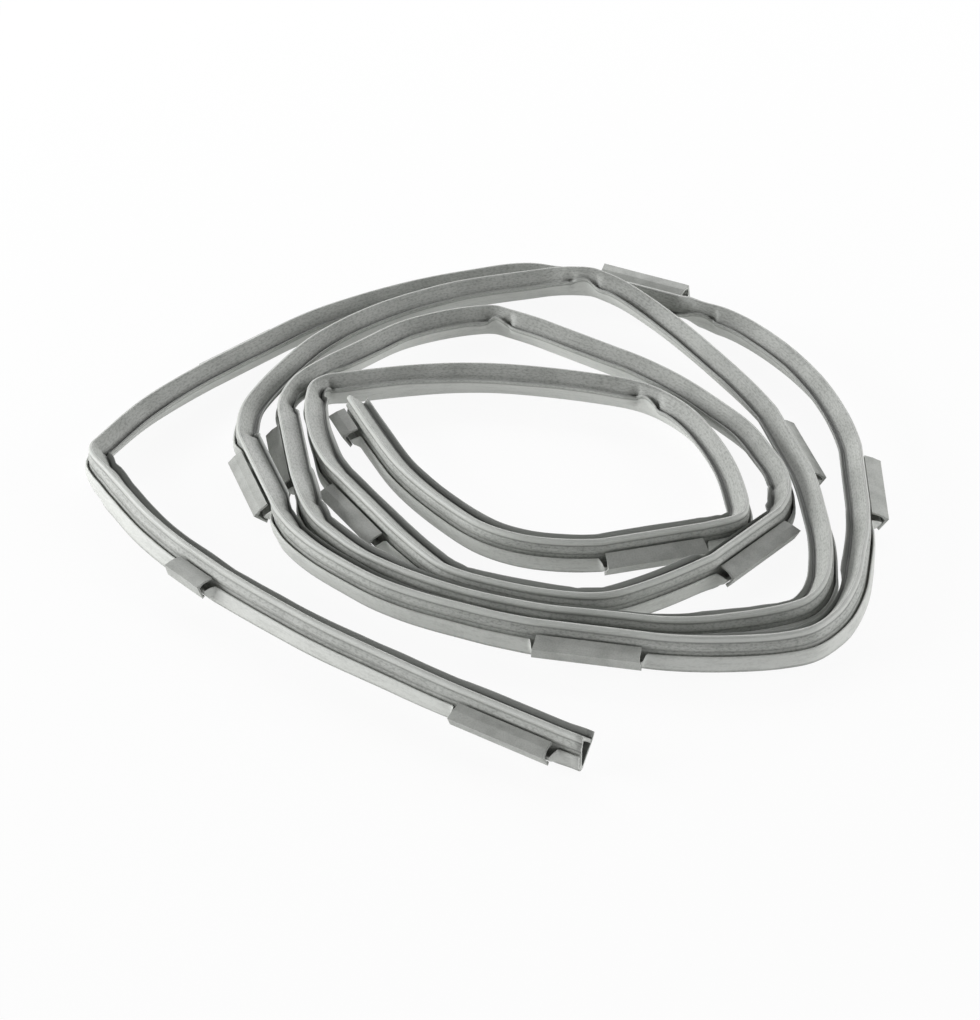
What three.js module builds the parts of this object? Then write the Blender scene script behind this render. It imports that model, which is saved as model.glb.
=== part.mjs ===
import * as THREE from 'three';

// Door seal strip: a hollow rubber extrusion lying in a loose spiral, with push-on clips.
// Millimetres, Z up; the strip lies on Z = 0 and every section hangs from its top ridge.

const SEAL_HEIGHT = 13.8; // ridge to underside
const FACE_IN = 5.8; // sloping top face, inward run
const FACE_DROP = 5.5; // sloping top face, drop
const FIN_LENGTH = 2.6; // thin fin along the inner edge of the face
const FIN_THICKNESS = 0.8;
const WALL = 0.9; // rubber wall
const FLAP_HEIGHT = 7.2; // free flap on the outer side, rooted at the bottom
const FLAP_THICKNESS = 0.85;
const FLAP_GAP = 0.65; // slit between flap and outer wall
const FLAP_OPEN = 38; // degrees the flap is bent out inside a clip

const CLIP_LENGTH = 38;
const SHORT_CLIP_LENGTH = 19.5;
const CLIP_REACH = 7.3; // plate width, outward
const CLIP_DROP = 2.2; // plate fall over its width
const CLIP_LEG = 4.6; // height of the barbed leg
const CLIP_LEG_IN = 2.7; // inward run of the leg
const CLIP_WALL = 0.75;
const CLIP_CLEARANCE = 0.6; // plate edge to seal wall

const BUCKLE_HEIGHT = 0.9; // waves of the inner edge at a kink
const BUCKLE_PITCH = 8;
const BUCKLE_SPAN = 9.5; // half length of a buckled stretch
const FREE_REACH = 30; // inward room of a section with nothing beside it

// Ridge line seen from above, from the cut end at the front to the inner cut end:
// [x, y, lift, roll, reach]. Lift is the height of the underside above the floor, roll
// leans the ridge inward, reach is the inward room left by the neighbouring turn.
const ROUTE = [
  // front strip
  [30, -143.5], [3.5, -127, 0, 2], [-30, -104, 0, 6], [-65, -78, 0, 10],
  [-102.5, -43.5, 0, 15], [-123, -19, 0, 18], [-136.5, 1.5, 0, 17], [-143, 11, 0, 10],
  [-148, 18.5, 0, 3], [-149, 23.5], [-146.5, 29],
  // first turn, back and right
  [-134, 52], [-120.5, 69.5], [-102.5, 89], [-88, 103.5], [-72.5, 117.5], [-57, 128],
  [-41, 137, 0, 0, 6.5], [-24.5, 144.5, 0, 0, 5.8], [-8.5, 150, 0, 0, 5.5],
  [8.5, 155, 0, 0, 5.5], [18.5, 155.5, 0, 2, 5.5],
  [27.5, 153.2, 0, 8, 5], [37.5, 151.5, 0, 18, 4.5], [47.5, 148.5, 0, 28, 5], [62, 142, 0, 32],
  [77, 132.5, 0, 20], [85.5, 125.5, 0, 8], [95, 120, 0, -2], [104.5, 111, 0, -8],
  [118.5, 91, 0, -10], [128.5, 70, 0, -10], [134, 52, 0, -10], [137.5, 33, 0, -10],
  [138.5, 9.5, 0, -6], [137, -12.5], [134.5, -30.5, 0, 6], [131.5, -43, 0, 12],
  [129, -54.5, 0, 12, 6], [125.3, -65, 0, 12, 5.2], [121.3, -73, 0, 12, 5.2],
  [115.5, -80.7, 0, 10, 5.5],
  [109, -86, 0, 10], [98.5, -89.5, 0, 8],
  // first turn, front and left
  [84.5, -91, 0, 8], [71, -91.2, 0, 8, 6.5], [57.5, -90, 0, 8, 5.6], [44.5, -87.2, 0, 8, 5.6],
  [30.5, -84.6, 0, 8, 5.2], [17, -82.2, 0, 8, 5], [3.5, -78.4, 0, 6, 4.7],
  [-10.5, -73, 0, 5, 5.2], [-24.5, -67, 0, 4, 5.6], [-38.5, -59.2, 0, 2, 5.6],
  [-53, -47.6, 0, 0, 5.8], [-64, -37, 0, 0, 5.8], [-71.7, -27, 0, 0, 5.8],
  [-77, -17.5, 0, -5, 6.5], [-81.5, -5, 0, -18, 8], [-87, 11.5, 0, -22, 8],
  [-91, 22, 0, -15], [-94, 30, 0, -5],
  [-95, 38],
  // second turn, back and right
  [-94, 51], [-88.5, 66.5], [-80.5, 82.5], [-71.5, 97.5], [-60, 109, 1], [-44.5, 121.5, 1.5],
  [-28.5, 130.5, 2], [-12.5, 138, 2], [4, 143, 2], [16.5, 144.5, 3], [26.5, 144.5, 4.5],
  [35, 142.5, 6], [42, 141.5, 6], [47, 139, 5.5, -3], [54, 134.5, 4.5, -6],
  [65, 124, 2.5, -8], [76, 110, 1, -10], [90.5, 86.5, 0, -10], [104, 60, 0, -10],
  [112, 39, 0, -10], [117, 16.5, 0, -10], [119.5, 0, 0, -6], [120.5, -15.5],
  [121, -30.5, 0, 3], [120, -44, 0, 5], [117.8, -55, 0, 10], [114.2, -63.5, 0, 12],
  [109.3, -69.2, 0, 14], [103.8, -72.5, 0, 12], [94.5, -76, 0, 8],
  // second turn, front and left
  [82, -79, 0, 4], [70, -81, 0, 0, 7], [58, -80.8, 0, 0, 5.6], [46, -78.8, 0, 0, 5],
  [34, -76.8, 0, 0, 5], [20.5, -74.6, 0, 0, 5], [7, -70.8, 0, 0, 5.2],
  [-7, -65.8, 0, 0, 5.6], [-21, -59, 0, 0, 6], [-35, -50.5, 0, 0, 7], [-48, -40.5],
  [-57, -30.5], [-63, -22.5], [-67.8, -12.5, 0, -5], [-72, 1.5, 0, -20],
  [-76, 19.5, 0, -25, 9], [-79, 36, 0, -20, 8], [-80.5, 49.5, 0, -6, 6], [-79.5, 59, 0, 0, 5.5],
  // third turn
  [-75, 71, 0, 0, 5.5], [-66.5, 81.5, 0, 0, 5.5], [-51.5, 95.5], [-36, 109.5], [-20, 117.5],
  [-6, 121.5], [2, 122], [8, 119], [16, 114.5, 0, -3], [28, 107, 0, -8], [43.5, 95, 0, -10],
  [59, 84, 0, -10], [74, 70, 0, -10], [88, 52.5, 0, -10], [98.5, 37, 0, -10],
  [104.5, 22, 0, -10], [108.5, 9.5, 0, -8], [109.5, 0, 0, -3], [108.5, -8, 0, 3],
  [105, -16.5, 0, 5, 7], [97.8, -27.2, 0, 5, 5], [85.6, -39.6, 0, 3, 5], [70, -51.5],
  [55.5, -60.6], [43, -66.4, 0, 2], [36, -67.6, 0, 2], [27.5, -67, 0, 2], [14, -64.2],
  [0, -59.4], [-10, -54.8, 0, 3], [-16, -51, 0, 3], [-21, -46.4], [-32, -32], [-43.5, -14.5],
  [-53, 1], [-61, 13.5, 0, -4], [-67, 29.5, 0, -18], [-70, 46.5, 0, -18], [-70, 57.5, 0, -5], [-68.5, 66],
  // innermost turn
  [-64, 70.5, 0, -3], [-54.5, 73, 0, -8], [-35, 77, 0, -8], [-15.5, 79, 0, -8],
  [4, 78.5, 0, -8], [23.5, 75.5, 0, -8], [39, 72, 0, -8], [52.5, 68, 0, -6], [60, 64.5, 0, -8],
  [67.5, 58.5, 0, -10], [76.5, 47.5, 0, -12], [84.5, 30.5, 0, -12], [90, 12.5, 0, -12],
  [92.5, -3.5, 0, -10], [93, -14, 0, -6], [91.5, -19.5], [87.5, -22.5, 0, 3], [81, -25, 0, 4],
  [68, -30], [53.5, -34], [39, -36.5], [25, -36.5], [10.5, -33.5], [-3.5, -26], [-18, -11],
  [-33.5, 10.5], [-44.5, 33.5], [-54, 56],
];

// Where along the strip each clip starts, and which clips are the short ones.
const CLIP_STARTS = [9, 155, 320, 496, 665, 839, 1004, 1363, 1709, 1890, 2056, 2231, 2576, 2740];
const SHORT_CLIPS = [1, 13];
// Where along the strip it has folded, which buckles the inner edge.
const KINKS = [244, 488, 548, 988, 1042, 1242, 1684, 1762, 1872, 2042, 2145, 2198, 2334, 2468, 2560];

const rubber = new THREE.MeshStandardMaterial({ color: 0xa9aba8, roughness: 0.62, metalness: 0 });
const clipPlastic = new THREE.MeshStandardMaterial({ color: 0x9c9e99, roughness: 0.5, metalness: 0 });

const lerp = THREE.MathUtils.lerp;
const radians = THREE.MathUtils.degToRad;

// Section of the seal: [inward, up, flap share], from the ridge down the inner side and back.
const finBase = [FACE_IN, -FACE_DROP];
const flapTop = -SEAL_HEIGHT + 0.5 + FLAP_HEIGHT;
const wallX = -1.3;
const flapX = wallX - FLAP_GAP;
const OUTLINE = [
  [0.45, -0.15],
  [FACE_IN * 0.55, -FACE_DROP * 0.545],
  finBase,
  [FACE_IN + FIN_LENGTH * 0.85, -FACE_DROP + FIN_LENGTH * 0.53],
  [FACE_IN + FIN_LENGTH * 0.98, -FACE_DROP + FIN_LENGTH * 0.53 - FIN_THICKNESS * 0.9],
  [FACE_IN + 1.1, -FACE_DROP - 1.3],
  [FACE_IN * 0.69, -SEAL_HEIGHT * 0.725],
  [0.9, -SEAL_HEIGHT + 0.4],
  [-0.6, -SEAL_HEIGHT],
  [-1.9, -SEAL_HEIGHT + 0.5],
  [flapX - FLAP_THICKNESS + 0.2, -SEAL_HEIGHT + 2, 0.5],
  [flapX - FLAP_THICKNESS - 0.1, lerp(-SEAL_HEIGHT, flapTop, 0.6), 1],
  [flapX - FLAP_THICKNESS * 0.75, flapTop - 0.2, 1],
  [flapX, flapTop, 1],
  [flapX, lerp(-SEAL_HEIGHT, flapTop, 0.6), 1],
  [wallX - 0.15, -SEAL_HEIGHT + 1.5],
  [wallX, -SEAL_HEIGHT * 0.66],
  [wallX, -SEAL_HEIGHT * 0.4],
  [-0.95, -SEAL_HEIGHT * 0.21],
  [-0.45, -0.75],
];
const BORE = [
  [0.35, -WALL * 1.9],
  [FACE_IN * 0.5, -FACE_DROP * 0.53 - WALL * 1.37],
  [FACE_IN - WALL * 0.85, -FACE_DROP - WALL],
  [FACE_IN - WALL * 0.5, -FACE_DROP - WALL * 1.75],
  [FACE_IN * 0.69 - WALL * 1.2, -SEAL_HEIGHT * 0.725],
  [0.3, -SEAL_HEIGHT + WALL * 1.35],
  [wallX + WALL, -SEAL_HEIGHT + WALL * 1.6],
  [wallX + WALL, -SEAL_HEIGHT * 0.39],
];
const FLAP_ROOT = [-1.8, -SEAL_HEIGHT + 0.8];

const ridge = new THREE.CatmullRomCurve3(
  ROUTE.map(([x, y, lift = 0]) => new THREE.Vector3(x, y, lift)), false, 'centripetal');
ridge.arcLengthDivisions = 4000;
const stripLength = ridge.getLength();

// Roll and reach at a distance along the strip, read between the route points.
const knots = ROUTE.map((_, i) => {
  const lengths = ridge.getLengths();
  return lengths[Math.round((i / (ROUTE.length - 1)) * (lengths.length - 1))];
});
function between(distance, column, fallback) {
  let i = 1;
  while (i < knots.length - 1 && knots[i] < distance) i++;
  const t = THREE.MathUtils.clamp((distance - knots[i - 1]) / (knots[i] - knots[i - 1]), 0, 1);
  const value = (row) => row[column] ?? fallback;
  return lerp(value(ROUTE[i - 1]), value(ROUTE[i]), t * t * (3 - 2 * t));
}
const pointAt = (s) => ridge.getPointAt(THREE.MathUtils.clamp(s / stripLength, 0, 1));

function headingAt(s, window) {
  const a = pointAt(s - window);
  const b = pointAt(s + window);
  return new THREE.Vector2(b.x - a.x, b.y - a.y).normalize();
}

// Radius of the ridge line in plan, large where it is straight or bends the other way.
function inwardRadius(s) {
  const window = 3;
  const before = headingAt(s - window, window);
  const after = headingAt(s + window, window);
  const turn = -(before.x * after.y - before.y * after.x);
  return turn > 0.02 ? (2 * window) / Math.asin(Math.min(turn, 1)) : FREE_REACH * 4;
}

const clips = CLIP_STARTS.map((start, i) => {
  const length = SHORT_CLIPS.includes(i) ? SHORT_CLIP_LENGTH : CLIP_LENGTH;
  return { start, end: start + length };
});
const inClip = (s, margin) => clips.find((c) => s > c.start - margin && s < c.end + margin);
const nearKink = (s) => KINKS.some((k) => Math.abs(s - k) < BUCKLE_SPAN);
const LONGEST_STEP = 26;
const KINK_STEP = 3.2;
const TURN_STEP = 0.4; // radians between two stations

function stationDistances() {
  const list = [];
  let s = 0;
  while (s < stripLength - 1) {
    const clip = clips.find((c) => s > c.start - 4 && s < c.end);
    if (clip) {
      for (const mark of [clip.start - 4, clip.start, clip.end, clip.end + 4]) {
        if (mark > 0 && mark < stripLength) list.push(mark);
      }
      s = clip.end + 7;
      continue;
    }
    list.push(s);
    const bend = Math.min(inwardRadius(s), inwardRadius(s + 6), inwardRadius(s + 12));
    let step = Math.min(LONGEST_STEP, Math.max(KINK_STEP, bend * TURN_STEP));
    if (nearKink(s) || nearKink(s + 3)) step = KINK_STEP;
    const next = clips.find((c) => s < c.start - 4 && s + step > c.start - 7);
    s = next ? next.start - 3.9 : s + step;
  }
  list.push(stripLength);
  return list.filter((d, i) => i === 0 || d - list[i - 1] > 1);
}

function makeStation(s) {
  const clip = inClip(s, 0.01);
  const mid = clip ? (clip.start + clip.end) / 2 : s;
  const at = pointAt(s);
  let heading = headingAt(s, 2);
  if (clip) {
    const a = pointAt(clip.start);
    const b = pointAt(clip.end);
    heading = new THREE.Vector2(b.x - a.x, b.y - a.y).normalize();
  }
  const buckle = KINKS.reduce((sum, k) => {
    const d = Math.abs(s - k) / BUCKLE_SPAN;
    return sum + (d < 1 ? Math.cos((2 * Math.PI * (s - k)) / BUCKLE_PITCH) * (1 - d * d) : 0);
  }, 0);
  return {
    at,
    lift: clip ? pointAt(mid).z : at.z,
    inward: new THREE.Vector2(heading.y, -heading.x),
    roll: radians(between(mid, 3, 0)),
    reach: clip ? between(mid, 4, FREE_REACH) : Math.min(between(s, 4, FREE_REACH), 0.8 * inwardRadius(s)),
    open: inClip(s, 0.01) ? 1 : 0,
    buckle: clip ? 0 : buckle,
  };
}

// Places one point of a section: bends the flap, rolls, limits the inward reach.
function rollPoint([x, z], roll) {
  return [x * Math.cos(roll) + z * Math.sin(roll), -x * Math.sin(roll) + z * Math.cos(roll)];
}
function seatHeight(station) {
  const lowest = Math.min(...OUTLINE.map((p) => rollPoint(p, station.roll)[1]));
  return station.lift - lowest;
}
function placePoint(station, [x, z, flap = 0]) {
  let point = [x, z];
  if (flap && station.open) {
    const angle = radians(FLAP_OPEN) * flap * station.open;
    const dx = x - FLAP_ROOT[0];
    const dz = z - FLAP_ROOT[1];
    point = [
      FLAP_ROOT[0] + dx * Math.cos(angle) - dz * Math.sin(angle),
      FLAP_ROOT[1] + dx * Math.sin(angle) + dz * Math.cos(angle),
    ];
  }
  if (point[0] > 4) point[1] += BUCKLE_HEIGHT * station.buckle * Math.min(1, (point[0] - 4) / 2);
  let [inward, up] = rollPoint(point, station.roll);
  if (inward > 0) inward /= (1 + (inward / station.reach) ** 6) ** (1 / 6);
  return new THREE.Vector3(
    station.at.x + station.inward.x * inward,
    station.at.y + station.inward.y * inward,
    seatHeight(station) + up);
}

// Joins rings of points into a closed solid with a bore, or without one.
function loft(rings, boreRings) {
  const position = [];
  const index = [];
  const push = (points) => {
    const base = position.length / 3;
    for (const p of points) position.push(p.x, p.y, p.z);
    return base;
  };
  const skin = (sections, flip) => {
    const bases = sections.map(push);
    const n = sections[0].length;
    for (let i = 0; i + 1 < bases.length; i++) {
      for (let j = 0; j < n; j++) {
        const a = bases[i] + j;
        const b = bases[i] + ((j + 1) % n);
        const c = bases[i + 1] + j;
        const d = bases[i + 1] + ((j + 1) % n);
        if (flip) index.push(a, c, b, b, c, d);
        else index.push(a, b, c, b, d, c);
      }
    }
    return bases;
  };
  const outer = skin(rings, false);
  const bore = boreRings ? skin(boreRings, true) : null;
  return { position, index, outer, bore };
}

function closeEnds(mesh, contour, hole) {
  const faces = THREE.ShapeUtils.triangulateShape(contour, hole ? [hole] : []);
  const n = contour.length;
  const last = mesh.outer.length - 1;
  const pick = (end) => (i) => (i < n ? mesh.outer[end] + i : mesh.bore[end] + i - n);
  for (const [a, b, c] of faces) {
    const first = pick(0);
    const final = pick(last);
    mesh.index.push(first(a), first(b), first(c));
    mesh.index.push(final(a), final(c), final(b));
  }
  const geometry = new THREE.BufferGeometry();
  geometry.setAttribute('position', new THREE.Float32BufferAttribute(mesh.position, 3));
  geometry.setIndex(mesh.index);
  geometry.computeVertexNormals();
  return geometry;
}

const flat = (points) => points.map(([x, z]) => new THREE.Vector2(x, z));

function sealGeometry() {
  const stations = stationDistances().map(makeStation);
  const mesh = loft(
    stations.map((st) => OUTLINE.map((p) => placePoint(st, p))),
    stations.map((st) => BORE.map((p) => placePoint(st, p))));
  return closeEnds(mesh, flat(OUTLINE), flat(BORE));
}

// Section of a clip: plate standing out from the wall, V edge, barbed leg coming back under.
const clipInner = wallX - CLIP_CLEARANCE;
const clipTop = flapTop + 1.45;
const vEdge = [clipInner - CLIP_REACH, clipTop - CLIP_DROP];
const legEnd = [vEdge[0] + CLIP_LEG_IN, vEdge[1] - CLIP_LEG];
const CLIP_OUTLINE = [
  [clipInner, clipTop],
  [clipInner, clipTop - CLIP_WALL],
  [clipInner - CLIP_REACH * 0.5, clipTop - CLIP_DROP * 0.33 - CLIP_WALL],
  [vEdge[0] + CLIP_WALL * 1.9, vEdge[1] - CLIP_WALL * 0.9],
  [legEnd[0] + 0.1, legEnd[1] + 1.1],
  [legEnd[0] + 1, legEnd[1] + 0.9],
  legEnd,
  vEdge,
  [clipInner - CLIP_REACH * 0.5, clipTop - CLIP_DROP * 0.33],
];

function clipGeometry(clip) {
  const ends = [clip.start + 0.02, clip.end - 0.02].map(makeStation);
  for (const end of ends) end.reach = FREE_REACH;
  const rings = ends.map((st) => CLIP_OUTLINE.map((p) => placePoint({ ...st, open: 0, buckle: 0 }, p)));
  return closeEnds(loft(rings), flat(CLIP_OUTLINE));
}

const group = new THREE.Group();
group.name = 'door_seal';
function add(name, geometry, material) {
  const mesh = new THREE.Mesh(geometry, material);
  mesh.name = name;
  group.add(mesh);
}
add('seal_strip', sealGeometry(), rubber);
clips.forEach((clip, i) => {
  add(`clip_${String(i + 1).padStart(2, '0')}`, clipGeometry(clip), clipPlastic);
});

// The origin is the middle of the floor patch the whole part covers.
const box = new THREE.Box3().setFromObject(group);
const centre = box.getCenter(new THREE.Vector3());
for (const mesh of group.children) mesh.geometry.translate(-centre.x, -centre.y, -box.min.z);

export default group;
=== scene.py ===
import math

import bpy
import numpy as np
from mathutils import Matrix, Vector
from mathutils.geometry import tessellate_polygon


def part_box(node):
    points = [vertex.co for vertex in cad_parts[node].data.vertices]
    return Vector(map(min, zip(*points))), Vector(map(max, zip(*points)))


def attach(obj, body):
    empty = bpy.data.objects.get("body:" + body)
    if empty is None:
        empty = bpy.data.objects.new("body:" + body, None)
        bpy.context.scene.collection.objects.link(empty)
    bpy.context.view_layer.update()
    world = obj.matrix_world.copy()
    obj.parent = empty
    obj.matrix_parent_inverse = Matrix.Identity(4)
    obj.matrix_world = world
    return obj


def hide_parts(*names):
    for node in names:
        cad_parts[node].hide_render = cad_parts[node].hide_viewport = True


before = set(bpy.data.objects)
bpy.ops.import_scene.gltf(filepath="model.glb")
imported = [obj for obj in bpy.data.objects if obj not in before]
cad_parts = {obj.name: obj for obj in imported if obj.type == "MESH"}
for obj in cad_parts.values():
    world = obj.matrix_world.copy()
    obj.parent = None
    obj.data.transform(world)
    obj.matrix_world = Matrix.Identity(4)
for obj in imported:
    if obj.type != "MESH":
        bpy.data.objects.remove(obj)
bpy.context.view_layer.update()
print("frame loaded:", len(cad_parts), "nodes")

mm = 0.001

# The strip's ridge line seen from above, as [x, y, lift, roll, reach] in mm and degrees.
# Lift raises the underside, roll leans the ridge inward, reach is the room on the inner side.
freeReach = 30
route = [
    # front strip
    [30, -143.5], [3.5, -127, 0, 2], [-30, -104, 0, 6], [-65, -78, 0, 10],
    [-102.5, -43.5, 0, 15], [-123, -19, 0, 18], [-136.5, 1.5, 0, 17], [-143, 11, 0, 10],
    [-148, 18.5, 0, 3], [-149, 23.5], [-146.5, 29],
    # first turn, back and right
    [-134, 52], [-120.5, 69.5], [-102.5, 89], [-88, 103.5], [-72.5, 117.5], [-57, 128],
    [-41, 137, 0, 0, 6.5], [-24.5, 144.5, 0, 0, 5.8], [-8.5, 150, 0, 0, 5.5],
    [8.5, 155, 0, 0, 5.5], [18.5, 155.5, 0, 2, 5.5],
    [27.5, 153.2, 0, 8, 5], [37.5, 151.5, 0, 18, 4.5], [47.5, 148.5, 0, 28, 5], [62, 142, 0, 32],
    [77, 132.5, 0, 20], [85.5, 125.5, 0, 8], [95, 120, 0, -2], [104.5, 111, 0, -8],
    [118.5, 91, 0, -10], [128.5, 70, 0, -10], [134, 52, 0, -10], [137.5, 33, 0, -10],
    [138.5, 9.5, 0, -6], [137, -12.5], [134.5, -30.5, 0, 6], [131.5, -43, 0, 12],
    [129, -54.5, 0, 12, 6], [125.3, -65, 0, 12, 5.2], [121.3, -73, 0, 12, 5.2],
    [115.5, -80.7, 0, 10, 5.5], [109, -86, 0, 10], [98.5, -89.5, 0, 8],
    # first turn, front and left
    [84.5, -91, 0, 8], [71, -91.2, 0, 8, 6.5], [57.5, -90, 0, 8, 5.6], [44.5, -87.2, 0, 8, 5.6],
    [30.5, -84.6, 0, 8, 5.2], [17, -82.2, 0, 8, 5], [3.5, -78.4, 0, 6, 4.7],
    [-10.5, -73, 0, 5, 5.2], [-24.5, -67, 0, 4, 5.6], [-38.5, -59.2, 0, 2, 5.6],
    [-53, -47.6, 0, 0, 5.8], [-64, -37, 0, 0, 5.8], [-71.7, -27, 0, 0, 5.8],
    [-77, -17.5, 0, -5, 6.5], [-81.5, -5, 0, -18, 8], [-87, 11.5, 0, -22, 8],
    [-91, 22, 0, -15], [-94, 30, 0, -5], [-95, 38],
    # second turn, back and right
    [-94, 51], [-88.5, 66.5], [-80.5, 82.5], [-71.5, 97.5], [-60, 109, 1], [-44.5, 121.5, 1.5],
    [-28.5, 130.5, 2], [-12.5, 138, 2], [4, 143, 2], [16.5, 144.5, 3], [26.5, 144.5, 4.5],
    [35, 142.5, 6], [42, 141.5, 6], [47, 139, 5.5, -3], [54, 134.5, 4.5, -6],
    [65, 124, 2.5, -8], [76, 110, 1, -10], [90.5, 86.5, 0, -10], [104, 60, 0, -10],
    [112, 39, 0, -10], [117, 16.5, 0, -10], [119.5, 0, 0, -6], [120.5, -15.5],
    [121, -30.5, 0, 3], [120, -44, 0, 5], [117.8, -55, 0, 10], [114.2, -63.5, 0, 12],
    [109.3, -69.2, 0, 14], [103.8, -72.5, 0, 12], [94.5, -76, 0, 8],
    # second turn, front and left
    [82, -79, 0, 4], [70, -81, 0, 0, 7], [58, -80.8, 0, 0, 5.6], [46, -78.8, 0, 0, 5],
    [34, -76.8, 0, 0, 5], [20.5, -74.6, 0, 0, 5], [7, -70.8, 0, 0, 5.2],
    [-7, -65.8, 0, 0, 5.6], [-21, -59, 0, 0, 6], [-35, -50.5, 0, 0, 7], [-48, -40.5],
    [-57, -30.5], [-63, -22.5], [-67.8, -12.5, 0, -5], [-72, 1.5, 0, -20],
    [-76, 19.5, 0, -25, 9], [-79, 36, 0, -20, 8], [-80.5, 49.5, 0, -6, 6], [-79.5, 59, 0, 0, 5.5],
    # third turn
    [-75, 71, 0, 0, 5.5], [-66.5, 81.5, 0, 0, 5.5], [-51.5, 95.5], [-36, 109.5], [-20, 117.5],
    [-6, 121.5], [2, 122], [8, 119], [16, 114.5, 0, -3], [28, 107, 0, -8], [43.5, 95, 0, -10],
    [59, 84, 0, -10], [74, 70, 0, -10], [88, 52.5, 0, -10], [98.5, 37, 0, -10],
    [104.5, 22, 0, -10], [108.5, 9.5, 0, -8], [109.5, 0, 0, -3], [108.5, -8, 0, 3],
    [105, -16.5, 0, 5, 7], [97.8, -27.2, 0, 5, 5], [85.6, -39.6, 0, 3, 5], [70, -51.5],
    [55.5, -60.6], [43, -66.4, 0, 2], [36, -67.6, 0, 2], [27.5, -67, 0, 2], [14, -64.2],
    [0, -59.4], [-10, -54.8, 0, 3], [-16, -51, 0, 3], [-21, -46.4], [-32, -32], [-43.5, -14.5],
    [-53, 1], [-61, 13.5, 0, -4], [-67, 29.5, 0, -18], [-70, 46.5, 0, -18],
    [-70, 57.5, 0, -5], [-68.5, 66],
    # innermost turn
    [-64, 70.5, 0, -3], [-54.5, 73, 0, -8], [-35, 77, 0, -8], [-15.5, 79, 0, -8],
    [4, 78.5, 0, -8], [23.5, 75.5, 0, -8], [39, 72, 0, -8], [52.5, 68, 0, -6], [60, 64.5, 0, -8],
    [67.5, 58.5, 0, -10], [76.5, 47.5, 0, -12], [84.5, 30.5, 0, -12], [90, 12.5, 0, -12],
    [92.5, -3.5, 0, -10], [93, -14, 0, -6], [91.5, -19.5], [87.5, -22.5, 0, 3], [81, -25, 0, 4],
    [68, -30], [53.5, -34], [39, -36.5], [25, -36.5], [10.5, -33.5], [-3.5, -26], [-18, -11],
    [-33.5, 10.5], [-44.5, 33.5], [-54, 56],
]

seal = dict(
    height=13.8,        # ridge to underside
    outerWall=-1.3,     # how far out the wall behind the flap stands
    flapHeight=6.4,     # free flap on the outer side
    flapHinge=(-1.8, 0.8),  # where it bends: inward, and above the underside
    flapOpen=38,        # degrees the flap is bent out inside a clip
    flapSpread=1.2,     # length over which the flap bends out at a clip's end
    # where the fin is puckered, as [distance along the strip, strength]
    folds=[
        [244, 0.35], [488, 1], [548, 0.9], [988, 0.25], [1042, 0.6], [1242, 0.9], [1684, 0.25],
        [1762, 0.6], [1872, 1], [2042, 0.3], [2145, 0.12], [2198, 0.12], [2334, 0.8],
        [2468, 1], [2560, 0.15],
    ],
    notches=[[-5, 1.5, 1], [6.5, 1.9, 0.75]],  # a pucker's two creases: place, width, depth
    puckerHalf=6.5,
    finFrom=1,          # a pucker pulls from this far inward of the ridge, in full finOver later
    finOver=6.5,
    finRipple=0.16,
    flapRipple=0.1,
    foldHeight=1.1,
    foldPull=4.2,       # how far a pucker draws the fin back towards the ridge
    creaseDepth=1.6,
    bendWindow=3,       # length on either side over which a bend is felt
    bendShare=0.8,      # share of a bend's radius that the inner side may fill
    mostReach=16,
    uprightShare=0.8,   # stretches right of uprightFrom stand straighter
    uprightFrom=-45,
    uprightOver=50,
    longStep=2.9,       # mesh steps along the strip
    fineStep=0.6,
    nearFold=11,        # the fine steps reach this far from a fold or a clip's end
    nearClip=3,
)
clip = dict(
    starts=[9, 155, 320, 496, 665, 839, 1004, 1363, 1709, 1890, 2056, 2231, 2576, 2740],
    shortOnes=[1, 13],
    length=38,
    shortLength=19.5,
    reach=6.6,          # plate width
    drop=2.2,           # plate fall over its width
    leg=4.9,
    legIn=3.0,
    wall=0.75,
    clearance=1.3,
    plateHeight=9.15,   # inner edge of the plate above the underside
    bend=0.33,          # share of the fall that is reached half way across
    freeOver=6,         # length past a clip's end in which the strip comes free
    endGap=0.02,
    endRing=1.6,        # length of the cut end
    cutBack=0.9,        # the plate ends this much before the leg
    cutOver=6,
    uneven=0.07,
    softEdge=0.09,
)


def smoothStep(t):
    # three t squared less two t cubed, with t kept between 0 and 1
    t = np.clip(t, 0, 1)
    return t * t * (3 - 2 * t)


def ridgeLine(points, perSpan=60):
    # a smooth curve through the points: each span is a cubic whose end slopes come from
    # the distances to its neighbours, to the power one half
    points = np.asarray(points, float)
    first = 2 * points[0] - points[1]
    last = 2 * points[-1] - points[-2]
    padded = np.vstack([first, points, last])
    gap = np.sqrt(np.linalg.norm(np.diff(padded, axis=0), axis=1))[:, None]
    p0, p1, p2, p3 = padded[:-3], padded[1:-2], padded[2:-1], padded[3:]
    d0, d1, d2 = gap[:-2], gap[1:-1], gap[2:]
    slopeIn = ((p1 - p0) / d0 - (p2 - p0) / (d0 + d1) + (p2 - p1) / d1) * d1
    slopeOut = ((p2 - p1) / d1 - (p3 - p1) / (d1 + d2) + (p3 - p2) / d2) * d1
    t = np.linspace(0, 1, perSpan, endpoint=False)[None, :, None]
    a, b, m, n = (v[:, None, :] for v in (p1, p2, slopeIn, slopeOut))
    curve = (2 * t**3 - 3 * t**2 + 1) * a + (t**3 - 2 * t**2 + t) * m
    curve = curve + (3 * t**2 - 2 * t**3) * b + (t**3 - t**2) * n
    curve = np.vstack([curve.reshape(-1, points.shape[1]), points[-1:]])
    travelled = np.concatenate([[0], np.cumsum(np.linalg.norm(np.diff(curve, axis=0), axis=1))])
    return curve, travelled, travelled[::perSpan]


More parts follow.
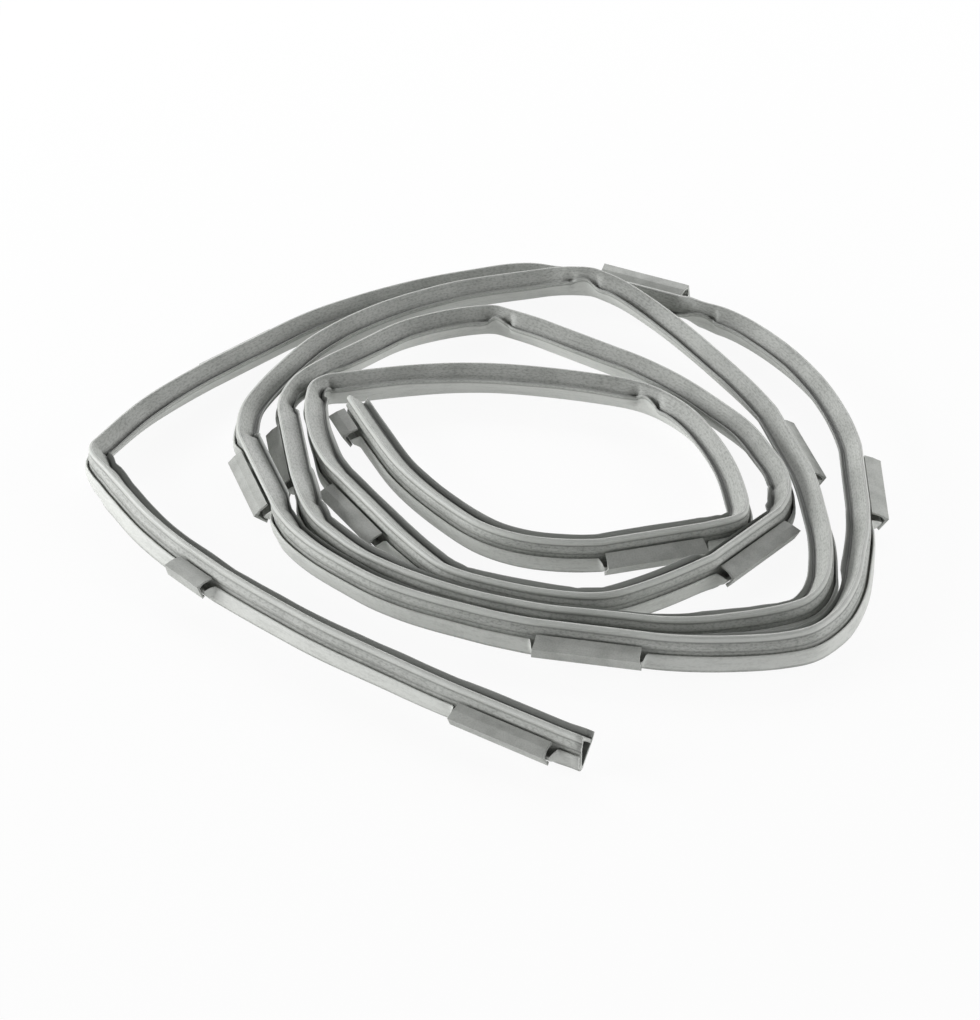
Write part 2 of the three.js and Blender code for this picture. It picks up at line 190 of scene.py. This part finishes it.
routeArray = np.array([(r + [0, 0, freeReach][len(r) - 2:]) for r in route], float)
ridge, ridgeTravel, knots = ridgeLine(routeArray[:, :3])
stripLength = ridgeTravel[-1]
clipSpans = np.array([
    [s, s + (clip["shortLength"] if i in clip["shortOnes"] else clip["length"])]
    for i, s in enumerate(clip["starts"])], float)
clipSpans[-1, 1] = min(clipSpans[-1, 1], stripLength)


def ridgeAt(s):
    return np.stack([np.interp(s, ridgeTravel, ridge[:, k]) for k in range(3)], axis=-1)


def chordAt(s):
    # the ridge line, straight from end to end of each clip
    place = ridgeAt(s)
    for start, end in clipSpans:
        inside = (s >= start) & (s <= end)
        share = ((s - start) / (end - start))[:, None]
        chord = (1 - share) * ridgeAt(np.array([start])) + share * ridgeAt(np.array([end]))
        place = np.where(inside[:, None], chord, place)
    return place


def routeValue(s, column):
    # eased from one route point's value to the next one's
    i = np.clip(np.searchsorted(knots, s, side="left"), 1, len(knots) - 1)
    t = smoothStep((s - knots[i - 1]) / (knots[i] - knots[i - 1]))
    values = routeArray[:, column]
    return values[i - 1] * (1 - t) + values[i] * t


def headingAt(s, window):
    # unit direction from a window before each distance to a window after it
    step = chordAt(np.minimum(s + window, stripLength)) - chordAt(np.maximum(s - window, 0))
    return step[:, :2] / np.linalg.norm(step[:, :2], axis=1)[:, None]


def clipDistance(s):
    # distance to the nearest clip, zero inside one, and that clip's middle
    gaps = np.maximum(np.maximum(clipSpans[:, 0, None] - s, s - clipSpans[:, 1, None]), 0)
    nearest = gaps.argmin(axis=0)
    return gaps.min(axis=0), clipSpans.mean(axis=1)[nearest]


def roomAlong():
    # inward room at every millimetre: the listed one, or less inside a tight bend,
    # narrowed to the least within the window and then smoothed with a bell curve
    s = np.arange(0, stripLength + 1, 1.0)
    window = seal["bendWindow"]
    before = headingAt(np.maximum(s - window, 1), window)
    after = headingAt(np.minimum(s + window, stripLength - 1), window)
    turn = before[:, 1] * after[:, 0] - before[:, 0] * after[:, 1]
    straight = 0.02
    radius = 2 * window / np.arcsin(np.clip(turn, straight, 1))
    radius = np.where(turn > straight, radius, 4 * freeReach)
    room = np.minimum(np.minimum(routeValue(s, 4), seal["bendShare"] * radius), seal["mostReach"])
    padded = np.pad(room, window, mode="edge")
    least = np.min([padded[k:k + len(s)] for k in range(2 * window + 1)], axis=0)
    spread, tail = 2.6, 8
    bell = np.exp(-(np.arange(-tail, tail + 1) / spread) ** 2 / 2)
    smooth = np.convolve(np.pad(least, tail, mode="edge"), bell / bell.sum(), mode="valid")
    return s, smooth


roomTravel, room = roomAlong()


def stationsAt(s):
    # everything a section needs at each distance along the strip
    gap, middle = clipDistance(s)
    free = smoothStep(gap / clip["freeOver"])
    roll = np.radians(routeValue(middle, 3) * (1 - free) + routeValue(s, 3) * free)
    reach = np.interp(s, roomTravel, room)
    slack = smoothStep((reach - 3) / 5)
    reach = routeValue(middle, 4) * (1 - free) + reach * free
    heading = headingAt(s, 2)
    place = chordAt(s)
    lift = ridgeAt(middle)[:, 2] * (1 - free) + place[:, 2] * free
    # a pucker is a broad bell that draws the fin back, with a sharp notch at each end
    pleat, crease, lobe = np.zeros((3, len(s)))
    for i, (k, size) in enumerate(seal["folds"]):
        off = (s - k) * (1 if i % 2 else -1)
        notch = sum(depth * np.exp(-((off - at) / width) ** 2) for at, width, depth in seal["notches"])
        broad = np.exp(-(off / seal["puckerHalf"]) ** 4) * smoothStep((size - 0.3) / 0.4)
        pleat += size * (0.65 * broad + 0.4 * notch)
        crease += size * notch
        lobe += size * (np.exp(-(off / 3) ** 2) - 0.5 * np.exp(-((off - 10.5) / 2.6) ** 2))
    return dict(
        s=s, place=place, inward=np.stack([heading[:, 1], -heading[:, 0]], axis=1), lift=lift,
        roll=roll, reach=reach, open=1 - smoothStep(gap / seal["flapSpread"]),
        pleat=pleat * free, crease=crease * free, lobe=lobe * free * (0.35 + 0.65 * slack))


def rolled(x, z, roll):
    # section points turned by the roll angle about the ridge
    return x * np.cos(roll) + z * np.sin(roll), -x * np.sin(roll) + z * np.cos(roll)


def seatHeight(stations, outline):
    # height of the ridge so that the lowest rolled point lies on the floor, or is lifted
    low = rolled(outline[None, :, 0], outline[None, :, 1], stations["roll"][:, None])[1]
    return stations["lift"] - low.min(axis=1)


def placeSections(stations, outline, seat):
    # carries a section along the strip. The flap turns about its hinge, a pucker draws the
    # fin back in proportion to an eased share of its distance inward, the edge ripples by a
    # sum of three sines, and the rolled section is squeezed softly into the inward room:
    # inward over the sixth root of one plus the sixth power of inward over room
    x = np.repeat(outline[None, :, 0], len(stations["s"]), axis=0)
    z = np.repeat(outline[None, :, 1], len(stations["s"]), axis=0)
    flap = outline[None, :, 2] if outline.shape[1] > 2 else 0 * x
    angle = math.radians(seal["flapOpen"]) * flap * stations["open"][:, None]
    hingeX, hingeZ = seal["flapHinge"][0], -seal["height"] + seal["flapHinge"][1]
    dx, dz = x - hingeX, z - hingeZ
    x = hingeX + dx * np.cos(angle) - dz * np.sin(angle)
    z = hingeZ + dx * np.sin(angle) + dz * np.cos(angle)
    pleat, crease, lobe = (stations[key][:, None] for key in ("pleat", "crease", "lobe"))
    edge = smoothStep((x - seal["finFrom"]) / seal["finOver"])
    face = smoothStep((x - 1.5) / 3) * smoothStep((z + 9) / 3)
    x = x - seal["foldPull"] * pleat * edge * smoothStep((z + 12) / 6)
    z = z + seal["foldHeight"] * lobe * edge - seal["creaseDepth"] * crease * face
    s = stations["s"][:, None]
    ripple = np.sin(s / 5.3 + 1.1) * 0.5 + np.sin(s / 11.7) * 0.6 + np.sin(s / 2.9 + 0.4) * 0.25
    z = z + seal["finRipple"] * ripple * smoothStep((x - 5) / 2.5)
    x = x + seal["flapRipple"] * np.sin(s / 8.1 + 0.7) * ripple * flap
    inward, up = rolled(x, z, stations["roll"][:, None])
    reach = stations["reach"][:, None]
    limited = inward / (1 + (np.maximum(inward, 0) / reach) ** 6) ** (1 / 6)
    inward = np.where(inward > 0, limited, inward)
    plan = stations["place"][:, None, :2] + stations["inward"][:, None, :] * inward[:, :, None]
    return np.concatenate([plan, (seat[:, None] + up)[:, :, None]], axis=2)


def sealOutline():
    # [inward, up, flap share] round the section, from the ridge over the face and back
    low = -seal["height"]
    top = low + 0.5 + seal["flapHeight"]
    points = [
        [0.35, -0.03, 0], [0.9, -0.45, 0], [1.7, -1.25, 0], [3.3, -2.85, 0], [4.8, -4.3, 0],
        [5.5, -5.05, 0], [5.85, -5.1, 0], [6.15, -4.65, 0], [6.6, -3.9, 0], [7.0, -3.2, 0],
        [7.3, -3.08, 0], [7.6, -3.35, 0], [7.45, -4.1, 0], [7.1, -4.8, 0], [6.75, -5.3, 0],
        [6.45, -5.9, 0], [5.3, -7.35, 0], [3.8, -9.25, 0], [2.3, -11.1, 0],
        [1.2, -12.55, 0], [0.4, low + 0.3, 0], [-0.2, low + 0.03, 0],
        [-0.8, low, 0], [-1.8, low + 0.4, 0],
        [-2.4, low + 1.4, 0.35], [-2.75, low + 2.7, 0.8], [-2.9, low + 4.0, 1],
        [-2.85, top - 1, 1], [-2.6, top - 0.15, 1], [-2.28, top, 1], [-2.02, top - 0.35, 1],
        [-1.96, low + 4.1, 1], [-1.85, low + 2.4, 0.6],
        [-1.6, low + 1.55, 0.1], [-1.42, low + 2.6, 0], [-1.3, -9.0, 0], [-1.2, -6.9, 0],
        [-1.0, -5.9, 0], [-1.15, -5.3, 0], [-1.5, -4.6, 0], [-1.45, -3.9, 0], [-0.95, -3.25, 0],
        [-0.55, -2.6, 0], [-0.6, -2.1, 0], [-1.05, -1.55, 0], [-1.1, -1.0, 0], [-0.8, -0.4, 0],
        [-0.25, -0.06, 0],
    ]
    return np.array(points, float)


def boreOutline():
    # the hollow: three rounded corners under the face, the inner side and the outer wall
    points = [
        [0.3, -2.0, 0], [1.9, -3.2, 0], [4.1, -5.35, 0], [4.95, -6.2, 0], [4.8, -6.8, 0],
        [3.3, -8.0, 0], [1.7, -10.25, 0], [0.45, -12.1, 0], [-0.1, -12.5, 0],
        [-0.4, -11.8, 0], [-0.4, -5.4, 0],
    ]
    return np.array(points, float)


def roundSection(outline):
    # distance round the section at each of its points
    steps = np.linalg.norm(np.diff(outline[:, :2], axis=0), axis=1)
    return np.concatenate([[0], np.cumsum(steps)])


def sectionZones(outline):
    # where crease, fin, inner side, flap, grooves and ridge bead start and end, in metres
    x, z, flap = outline.T
    around = roundSection(outline) * mm
    tip, foot = x.argmax(), z.argmin()
    onFlap = np.flatnonzero(flap > 0.3)
    # the points at the bottom of the upper groove and on the wall's step, and the fin's root
    groove = np.hypot(x + 0.55, z + 2.6).argmin()
    step = np.hypot(x + 1.0, z + 5.9).argmin()
    root = np.flatnonzero(x > 5)[0]
    half = 0.3 * mm
    return dict(
        crease=(around[root - 1] + 0.35 * mm, around[root + 2] - 0.15 * mm),
        fin=(around[root], around[tip]), inner=(around[tip + 3], around[foot]),
        under=(around[tip + 2] - 0.1 * mm, around[tip + 3]),
        flap=(around[onFlap[0]], around[onFlap[-1]]),
        groove=(around[groove] - half, around[groove] + half),
        step=(around[step] - half, around[step] + half), bead=(around[groove], around[-1]))


def stationDistances():
    # steps shorten near folds and clip ends: the count is the sum of one over the step
    s = np.linspace(0, stripLength, 12000)  # much finer than any step
    near = np.zeros_like(s)
    for k, size in seal["folds"]:
        near = np.maximum(near, np.exp(-((s - k) / seal["nearFold"]) ** 4))
    for edge in clipSpans.ravel():
        near = np.maximum(near, np.exp(-((s - edge) / seal["nearClip"]) ** 4))
    step = seal["longStep"] * (1 - near) + seal["fineStep"] * near
    count = np.concatenate([[0], np.cumsum(np.diff(s) / step[1:])])
    return np.interp(np.linspace(0, count[-1], int(count[-1])), count, s)


def gridFaces(rows, columns, flip, start=0):
    # quads between rings of a grid whose columns close, as vertex numbers
    i, j = np.meshgrid(np.arange(rows - 1), np.arange(columns), indexing="ij")
    nextJ = (j + 1) % columns
    a, b = i * columns + j, i * columns + nextJ
    c, d = a + columns, b + columns
    quads = np.stack([a, c, d, b] if flip else [a, b, d, c], axis=-1).reshape(-1, 4)
    return quads + start


def meshObject(name, vertices, quads, triangles, uvOfVertex, smooth=True):
    # from arrays to an object; a corner's uv is its vertex's
    mesh = bpy.data.meshes.new(name)
    mesh.from_pydata(vertices.tolist(), [], quads.tolist() + triangles.tolist())
    corners = np.zeros(len(mesh.loops), np.int32)
    mesh.loops.foreach_get("vertex_index", corners)
    layer = mesh.uv_layers.new(name="along")
    layer.data.foreach_set("uv", uvOfVertex[corners].ravel())
    mesh.polygons.foreach_set("use_smooth", np.full(len(mesh.polygons), smooth))
    mesh.update()
    piece = bpy.data.objects.new(name, mesh)
    bpy.context.collection.objects.link(piece)
    return piece


def capFaces(outline, hole=None):
    # triangles that fill the section round its hole, all turned counter-clockwise
    loops = [outline] if hole is None else [outline, hole]
    faces = np.array(tessellate_polygon([[Vector((p[0], p[1], 0)) for p in loop] for loop in loops]))
    a, b, c = (np.vstack(loops)[faces[:, i]] for i in range(3))
    area = (b[:, 0] - a[:, 0]) * (c[:, 1] - a[:, 1]) - (c[:, 0] - a[:, 0]) * (b[:, 1] - a[:, 1])
    return np.where((area > 0)[:, None], faces, faces[:, [0, 2, 1]])


def endFaces(caps, rows, n, k=0):
    # the caps' corners as vertex numbers at both ends: n outer points a row, then k of the hole
    def at(row):
        return np.where(caps < n, row * n + caps, rows * n + row * k + caps - n)
    return np.vstack([at(0), at(rows - 1)[:, [0, 2, 1]]])


def rowShift():
    # the route's own origin in the row's frame, read from where the first clip lies
    ends = stationsAt(clipSpans[0])
    seat = seatHeight(ends, sealOutline())
    corners = placeSections(ends, clipOutline(), seat).reshape(-1, 3)
    low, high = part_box("clip_01")
    middle = np.array([(low[k] + high[k]) / 2 for k in range(2)])
    own = (corners.min(axis=0) + corners.max(axis=0))[:2] / 2 * mm
    return middle - own


def clipOutline():
    # [inward, up, 0] in this order: the plate's underside, the leg's inner side, its barb,
    # the leg's foot, the V edge and the plate's top
    inner = seal["outerWall"] - clip["clearance"]
    top = clip["plateHeight"] - seal["height"]
    wall = clip["wall"]
    edge = [inner - clip["reach"], top - clip["drop"]]
    foot = [edge[0] + clip["legIn"], edge[1] - clip["leg"]]
    half = clip["reach"] / 2
    points = [
        [inner, top], [inner, top - wall],
        [inner - half, top - clip["drop"] * clip["bend"] - wall],
        [edge[0] + wall * 1.9, edge[1] - wall * 0.9],
        [foot[0] + 0.1, foot[1] + 1.1], [foot[0] + 1, foot[1] + 0.9], foot,
        edge, [inner - half, top - clip["drop"] * clip["bend"]],
    ]
    return np.array([[x, z, 0] for x, z in points])


shift = rowShift()
print("route origin in the frame, mm:", np.round(shift / mm, 2))


def toFrame(points):
    # millimetres on the route's own axes to metres in the frame
    points = points * mm
    points[..., :2] += shift
    return points


# Shader maths: a wrapped socket whose operators add Math nodes.
class Val:
    def __init__(self, tree, socket):
        self.tree = tree
        self.socket = socket

    def make(self, kind, settings=None, inputs=None, out=0):
        node = self.tree.nodes.new(kind)
        for key, value in (settings or {}).items():
            if key == "stops":
                ramp = node.color_ramp
                while len(ramp.elements) < len(value):
                    ramp.elements.new(0.5)
                for element, (where, colour) in zip(ramp.elements, value):
                    element.position = where
                    element.color = colour
            else:
                setattr(node, key, value)
        for key, value in (inputs or {}).items():
            target = node.inputs[key]
            if isinstance(value, Val):
                self.tree.links.new(value.socket, target)
            else:
                target.default_value = value
        return Val(self.tree, node.outputs[out])

    def maths(self, operation, *values):
        return self.make("ShaderNodeMath", {"operation": operation},
                         {i: v for i, v in enumerate(values)})

    def __add__(self, other):
        return self.maths("ADD", self, other)

    def __radd__(self, other):
        return self.maths("ADD", other, self)

    def __sub__(self, other):
        return self.maths("SUBTRACT", self, other)

    def __rsub__(self, other):
        return self.maths("SUBTRACT", other, self)

    def __mul__(self, other):
        return self.maths("MULTIPLY", self, other)

    def __rmul__(self, other):
        return self.maths("MULTIPLY", other, self)

    def clamp(self):
        return self.make("ShaderNodeClamp", {}, {"Value": self})

    def ease(self, low, high):
        return self.make("ShaderNodeMapRange", {"interpolation_type": "SMOOTHSTEP"},
                         {"Value": self, "From Min": low, "From Max": high})

    def mixColour(self, a, b):
        # mixes colour a to colour b by this value
        node = self.tree.nodes.new("ShaderNodeMix")
        node.data_type = "RGBA"
        self.tree.links.new(self.socket, node.inputs["Factor"])
        for name, value in (("A", a), ("B", b)):
            target = [i for i in node.inputs if i.name == name and i.type == "RGBA"][0]
            if isinstance(value, Val):
                self.tree.links.new(value.socket, target)
            else:
                target.default_value = value
        output = [o for o in node.outputs if o.type == "RGBA"][0]
        return Val(self.tree, output)


def srgb(r, g, b):
    # display numbers from 0 to 255 to a linear colour
    def line(v):
        v = v / 255
        return v / 12.92 if v <= 0.04045 else ((v + 0.055) / 1.055) ** 2.4
    return (line(r), line(g), line(b), 1)


def startMaterial(name, roughness, specular=0.4):
    material = bpy.data.materials.new(name)
    material.use_nodes = True
    tree = material.node_tree
    shader = tree.nodes["Principled BSDF"]
    shader.inputs["Roughness"].default_value = roughness
    shader.inputs["Specular IOR Level"].default_value = specular
    return material, Val(tree, None), shader


def connect(value, socket):
    value.tree.links.new(value.socket, socket)


# the fin, crease and hollow colours are painted shade, the bead colour a painted highlight, and the
# bloom colour partly real bloom, partly painted bounce light from the table
rubberLook = dict(
    base=(189, 191, 187), dull=(143, 145, 141), fin=(154, 156, 153), crease=(98, 100, 97),
    bloomAndBounceLight=(209, 211, 207), bead=(206, 208, 204), hollow=(74, 76, 73), roughness=0.5)


def rubberMaterial(zones):
    # extruded rubber: lengthwise drawing lines and fine grain; painted shade on the fin, at its root,
    # under it and in the grooves; a painted highlight on the ridge bead; and a pale bloom on flap and
    # inner side, partly real and partly painted bounce light from the table
    material, v, shader = startMaterial("sealRubber", rubberLook["roughness"], 0.45)
    uv = v.make("ShaderNodeUVMap", {"uv_map": "along"})
    place = v.make("ShaderNodeTexCoord", out="Object")
    # u runs along the strip and v round the section, both in metres
    around = v.make("ShaderNodeSeparateXYZ", {}, {0: uv}, 1)

    def zone(name, soft):
        start, end = zones[name]
        return around.ease(start - soft, start + soft) * (1 - around.ease(end - soft, end + soft))

    def streaks(along, across, detail):
        space = v.make("ShaderNodeMapping", {}, {"Vector": uv, "Scale": (along, across, 1)})
        return v.make("ShaderNodeTexNoise", {"noise_dimensions": "2D"},
                      {"Vector": space, "Scale": 1.0, "Detail": detail, "Roughness": 0.62})

    lines = streaks(14, 2400, 3.0)
    smears = streaks(90, 520, 4.0)
    scratches = streaks(700, 1500, 5.0)
    grain = v.make("ShaderNodeTexNoise", {}, {"Vector": place, "Scale": 2600.0, "Detail": 2.0})
    clouds = v.make("ShaderNodeTexNoise", {}, {"Vector": place, "Scale": 60.0, "Detail": 3.0})
    dull = (lines.ease(0.35, 0.7) * 0.25 + clouds.ease(0.35, 0.7) * 0.35
            + scratches.ease(0.42, 0.7) * 0.6).clamp()
    colour = dull.mixColour(srgb(*rubberLook["base"]), srgb(*rubberLook["dull"]))
    # painted shade: the fin band is darker, standing in for the shade it sits in behind the ridge
    colour = zone("fin", 0.0003).mixColour(colour, srgb(*rubberLook["fin"]))
    # painted shade: a dark line in the valley at the fin's root, where shade falls
    colour = zone("crease", 0.0003).mixColour(colour, srgb(*rubberLook["crease"]))
    # painted highlight: the ridge bead is lighter, standing in for the sheen the back light leaves on
    # its top
    beadHighlight = zone("bead", 0.0003) * (0.5 + 0.5 * smears)
    colour = beadHighlight.mixColour(colour, srgb(*rubberLook["bead"]))
    # painted shade: dark lines under the fin, in the upper groove and on the wall's step, where shade
    # falls
    paintedShadeLines = zone("under", 0.0002) * 0.7 + zone("groove", 0.00025) * 0.75 + zone("step", 0.00025) * 0.6
    paintedShadeLines = (paintedShadeLines * (0.5 + 0.6 * smears)).clamp()
    colour = paintedShadeLines.mixColour(colour, srgb(*rubberLook["crease"]))
    # partly real bloom, partly painted light: flap and inner side are lightened in mottled patches,
    # also standing in for the table's bounce light
    pale = zone("flap", 0.0006) + zone("inner", 0.0008)
    bloomAndBounceLight = (pale * (0.45 + 0.4 * smears.ease(0.3, 0.62) + 0.35 * scratches.ease(0.35, 0.6))).clamp()
    colour = bloomAndBounceLight.mixColour(colour, srgb(*rubberLook["bloomAndBounceLight"]))
    connect(colour, shader.inputs["Base Color"])
    rough = rubberLook["roughness"] + 0.14 * smears + 0.1 * grain - 0.12
    connect(rough, shader.inputs["Roughness"])
    height = lines * 0.6 + grain * 0.35 + smears * 0.6 + scratches * 0.5
    bump = v.make("ShaderNodeBump", {}, {"Height": height, "Strength": 0.45, "Distance": 0.0002})
    connect(bump, shader.inputs["Normal"])
    return material


def hollowMaterial():
    # the inside of the hollow, matt, painted dark as shade and mottled by a noise
    material, v, shader = startMaterial("sealHollow", 0.8, 0.2)
    place = v.make("ShaderNodeTexCoord", out="Object")
    hollowMottle = v.make("ShaderNodeTexNoise", {}, {"Vector": place, "Scale": 400.0, "Detail": 3.0})
    # painted shade: the hollow's inside is dark, varied between two dark tones by a noise
    colour = hollowMottle.ease(0.3, 0.7).mixColour(srgb(*rubberLook["hollow"]), srgb(*rubberLook["crease"]))
    connect(colour, shader.inputs["Base Color"])
    return material


clipLook = dict(base=(191, 193, 189), dull=(163, 165, 161), roughness=0.48)


def clipMaterial():
    # moulded plastic, satin, with a fine grain and soft clouds
    material, v, shader = startMaterial("clipPlastic", clipLook["roughness"], 0.35)
    place = v.make("ShaderNodeTexCoord", out="Object")
    grain = v.make("ShaderNodeTexNoise", {}, {"Vector": place, "Scale": 1900.0, "Detail": 3.0})
    clouds = v.make("ShaderNodeTexNoise", {}, {"Vector": place, "Scale": 150.0, "Detail": 3.0})
    dull = (clouds.ease(0.3, 0.7) * 0.6 + grain.ease(0.35, 0.75) * 0.5).clamp()
    colour = dull.mixColour(srgb(*clipLook["base"]), srgb(*clipLook["dull"]))
    connect(colour, shader.inputs["Base Color"])
    connect(clipLook["roughness"] - 0.05 + 0.15 * grain, shader.inputs["Roughness"])
    bump = v.make("ShaderNodeBump", {},
                  {"Height": grain + clouds * 0.4, "Strength": 0.2, "Distance": 0.0002})
    connect(bump, shader.inputs["Normal"])
    return material


def buildSeal(material):
    outline, bore = sealOutline(), boreOutline()
    stations = stationsAt(stationDistances())
    right = smoothStep((stations["place"][:, 0] - seal["uprightFrom"]) / seal["uprightOver"])
    lean = stations["roll"]
    stations["roll"] = np.where(lean < 0, lean * (1 - seal["uprightShare"] * right), lean)
    seat = seatHeight(stations, outline)
    outer = placeSections(stations, outline, seat)
    inner = placeSections(stations, bore, seat)
    rows, n, k = outer.shape[0], outer.shape[1], inner.shape[1]
    vertices = toFrame(np.vstack([outer.reshape(-1, 3), inner.reshape(-1, 3)]))
    quads = np.vstack([gridFaces(rows, n, False), gridFaces(rows, k, True, rows * n)])
    triangles = endFaces(capFaces(outline, bore), rows, n, k)
    along = stations["s"][:, None]
    uvOuter = np.stack(np.broadcast_arrays(along, roundSection(outline)[None, :]), axis=-1)
    uvInner = np.stack(np.broadcast_arrays(along, np.arange(k)[None, :] * 1.0), axis=-1)
    uv = np.vstack([uvOuter.reshape(-1, 2), uvInner.reshape(-1, 2)]) * mm
    piece = meshObject("sealStrip", vertices, quads, triangles, uv)
    piece.data.materials.append(material)
    piece.data.materials.append(hollowMaterial())
    slots = np.zeros(len(piece.data.polygons), np.int32)
    slots[(rows - 1) * n:len(quads)] = 1
    piece.data.polygons.foreach_set("material_index", slots)
    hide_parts("seal_strip")
    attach(piece, "root")
    print("seal strip:", len(quads) * 2 + len(triangles), "triangles, length mm", round(stripLength, 1))
    return piece


def buildClip(i, material, random):
    # a straight prism between the clip's ends, cut a little uneven and back at the plate
    outline = clipOutline()
    start, end = clipSpans[i] + [clip["endGap"], -clip["endGap"]]
    s = np.array([start, start + clip["endRing"], end - clip["endRing"], end])
    stations = stationsAt(s)
    stations["reach"][:] = freeReach
    seat = seatHeight(stations, sealOutline())
    for key in ("open", "pleat", "crease", "lobe"):
        stations[key][:] = 0
    rings = placeSections(stations, outline, seat)
    along = np.array([stations["inward"][0, 1], -stations["inward"][0, 0]]) * -1
    jitter = random.normal(0, clip["uneven"], (2, len(outline)))
    above = (outline[:, 1] - outline[:, 1].min()) / clip["cutOver"]
    cutBack = np.clip(above, 0, 1) * clip["cutBack"]
    rings[0, :, :2] += (jitter[0] + cutBack)[:, None] * along
    rings[-1, :, :2] += (jitter[1] - cutBack)[:, None] * along
    rows, n = rings.shape[:2]
    quads = gridFaces(rows, n, False)
    triangles = endFaces(capFaces(outline), rows, n)
    uv = np.stack(np.broadcast_arrays(s[:, None], np.arange(n)[None, :] * 1.0), axis=-1)
    uv = uv.reshape(-1, 2) * mm
    vertices = toFrame(rings.reshape(-1, 3))
    piece = meshObject(f"clip{i + 1:02d}", vertices, quads, triangles, uv, smooth=False)
    bevel = piece.modifiers.new("softEdges", "BEVEL")
    bevel.width = clip["softEdge"] * mm
    bevel.segments = 2
    bevel.limit_method = "ANGLE"
    bevel.angle_limit = math.radians(25)
    piece.data.materials.append(material)
    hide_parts(f"clip_{i + 1:02d}")
    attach(piece, "root")
    return piece


print("building the seal strip")
buildSeal(rubberMaterial(sectionZones(sealOutline())))
print("building the clips")
clipPlastic = clipMaterial()
clipRandom = np.random.default_rng(14)
for number in range(len(clip["starts"])):
    buildClip(number, clipPlastic, clipRandom)


camera = dict(elevation=36, distance=962, focalPixels=2600, imageWide=980, sensor=36)


def placeCamera():
    data = bpy.data.cameras.new("photoCamera")
    data.sensor_fit = "HORIZONTAL"
    data.sensor_width = camera["sensor"]
    data.lens = camera["sensor"] * camera["focalPixels"] / camera["imageWide"]
    data.clip_end = 20
    body = bpy.data.objects.new("photoCamera", data)
    bpy.context.collection.objects.link(body)
    up = math.radians(camera["elevation"])
    target = Vector((shift[0], shift[1], 0))
    body.location = target + Vector((0, -math.cos(up), math.sin(up))) * camera["distance"] * mm
    body.rotation_euler = (math.pi / 2 - up, 0, 0)
    bpy.context.scene.camera = body


light = dict(
    # name, place and size in metres, watts
    lamps=[
        ("leftSoftbox", (-1.45, 0.1, 0.42), (1.1, 0.6), 23),
        ("rightSoftbox", (1.45, 0.1, 0.42), (1.1, 0.6), 13.5),
        ("backSoftbox", (0, 1.5, 0.75), (1.8, 0.8), 22),
        ("frontSoftbox", (0, -1.5, 0.2), (1.8, 0.35), 4.6),
    ],
    sky=0.12,
    tableHalf=3.0,      # metres
    tableBelow=0.0002,  # under the strip's lowest point
    tableWhite=0.93,
    tableGlow=0.35,     # share of the table that glows, and how much more the camera sees
    tableSeen=0.57,
)


def areaLamp(name, place, size, power):
    # a soft box that faces the middle of the table
    data = bpy.data.lights.new(name, "AREA")
    data.shape = "RECTANGLE"
    data.size, data.size_y = size
    data.energy = power
    lamp = bpy.data.objects.new(name, data)
    bpy.context.collection.objects.link(lamp)
    lamp.location = place
    lamp.rotation_euler = (-Vector(place)).to_track_quat("-Z", "Y").to_euler()
    lamp.visible_camera = False


def buildStage():
    mesh = bpy.data.meshes.new("table")
    half = light["tableHalf"]
    mesh.from_pydata([(-half, -half, 0), (half, -half, 0), (half, half, 0), (-half, half, 0)],
                     [], [(0, 1, 2, 3)])
    table = bpy.data.objects.new("table", mesh)
    table.location = (0, 0, -light["tableBelow"])
    bpy.context.collection.objects.link(table)
    material = bpy.data.materials.new("tableWhite")
    material.use_nodes = True
    tree = material.node_tree
    v = Val(tree, None)
    white = light["tableWhite"]
    shader = tree.nodes["Principled BSDF"]
    shader.inputs["Base Color"].default_value = (white, white, white, 1)
    shader.inputs["Roughness"].default_value = 0.9
    glow = v.make("ShaderNodeEmission", {}, {"Color": (1, 1, 1, 1), "Strength": 1.0})
    path = tree.nodes.new("ShaderNodeLightPath")
    seen = light["tableGlow"] + Val(tree, path.outputs["Is Camera Ray"]) * light["tableSeen"]
    mix = v.make("ShaderNodeMixShader", {}, {0: seen, 1: Val(tree, shader.outputs[0]), 2: glow})
    tree.links.new(mix.socket, tree.nodes["Material Output"].inputs["Surface"])
    table.data.materials.append(material)


def buildWorld():
    world = bpy.data.worlds.new("studio")
    bpy.context.scene.world = world
    world.use_nodes = True
    tree = world.node_tree
    v = Val(tree, None)
    lighting = tree.nodes["Background"]
    lighting.inputs["Color"].default_value = (1, 1, 1, 1)
    lighting.inputs["Strength"].default_value = light["sky"]
    backdrop = v.make("ShaderNodeBackground", {}, {"Color": (1, 1, 1, 1), "Strength": 1.0})
    path = tree.nodes.new("ShaderNodeLightPath")
    seen = v.maths("MAXIMUM", Val(tree, path.outputs["Is Camera Ray"]),
                   Val(tree, path.outputs["Is Transmission Ray"]))
    mix = v.make("ShaderNodeMixShader", {}, {0: seen, 1: Val(tree, lighting.outputs[0]), 2: backdrop})
    tree.links.new(mix.socket, tree.nodes["World Output"].inputs["Surface"])


print("camera, table and light")
placeCamera()
buildStage()
buildWorld()
for lamp in light["lamps"]:
    areaLamp(*lamp)
bpy.context.scene.view_settings.view_transform = "Standard"
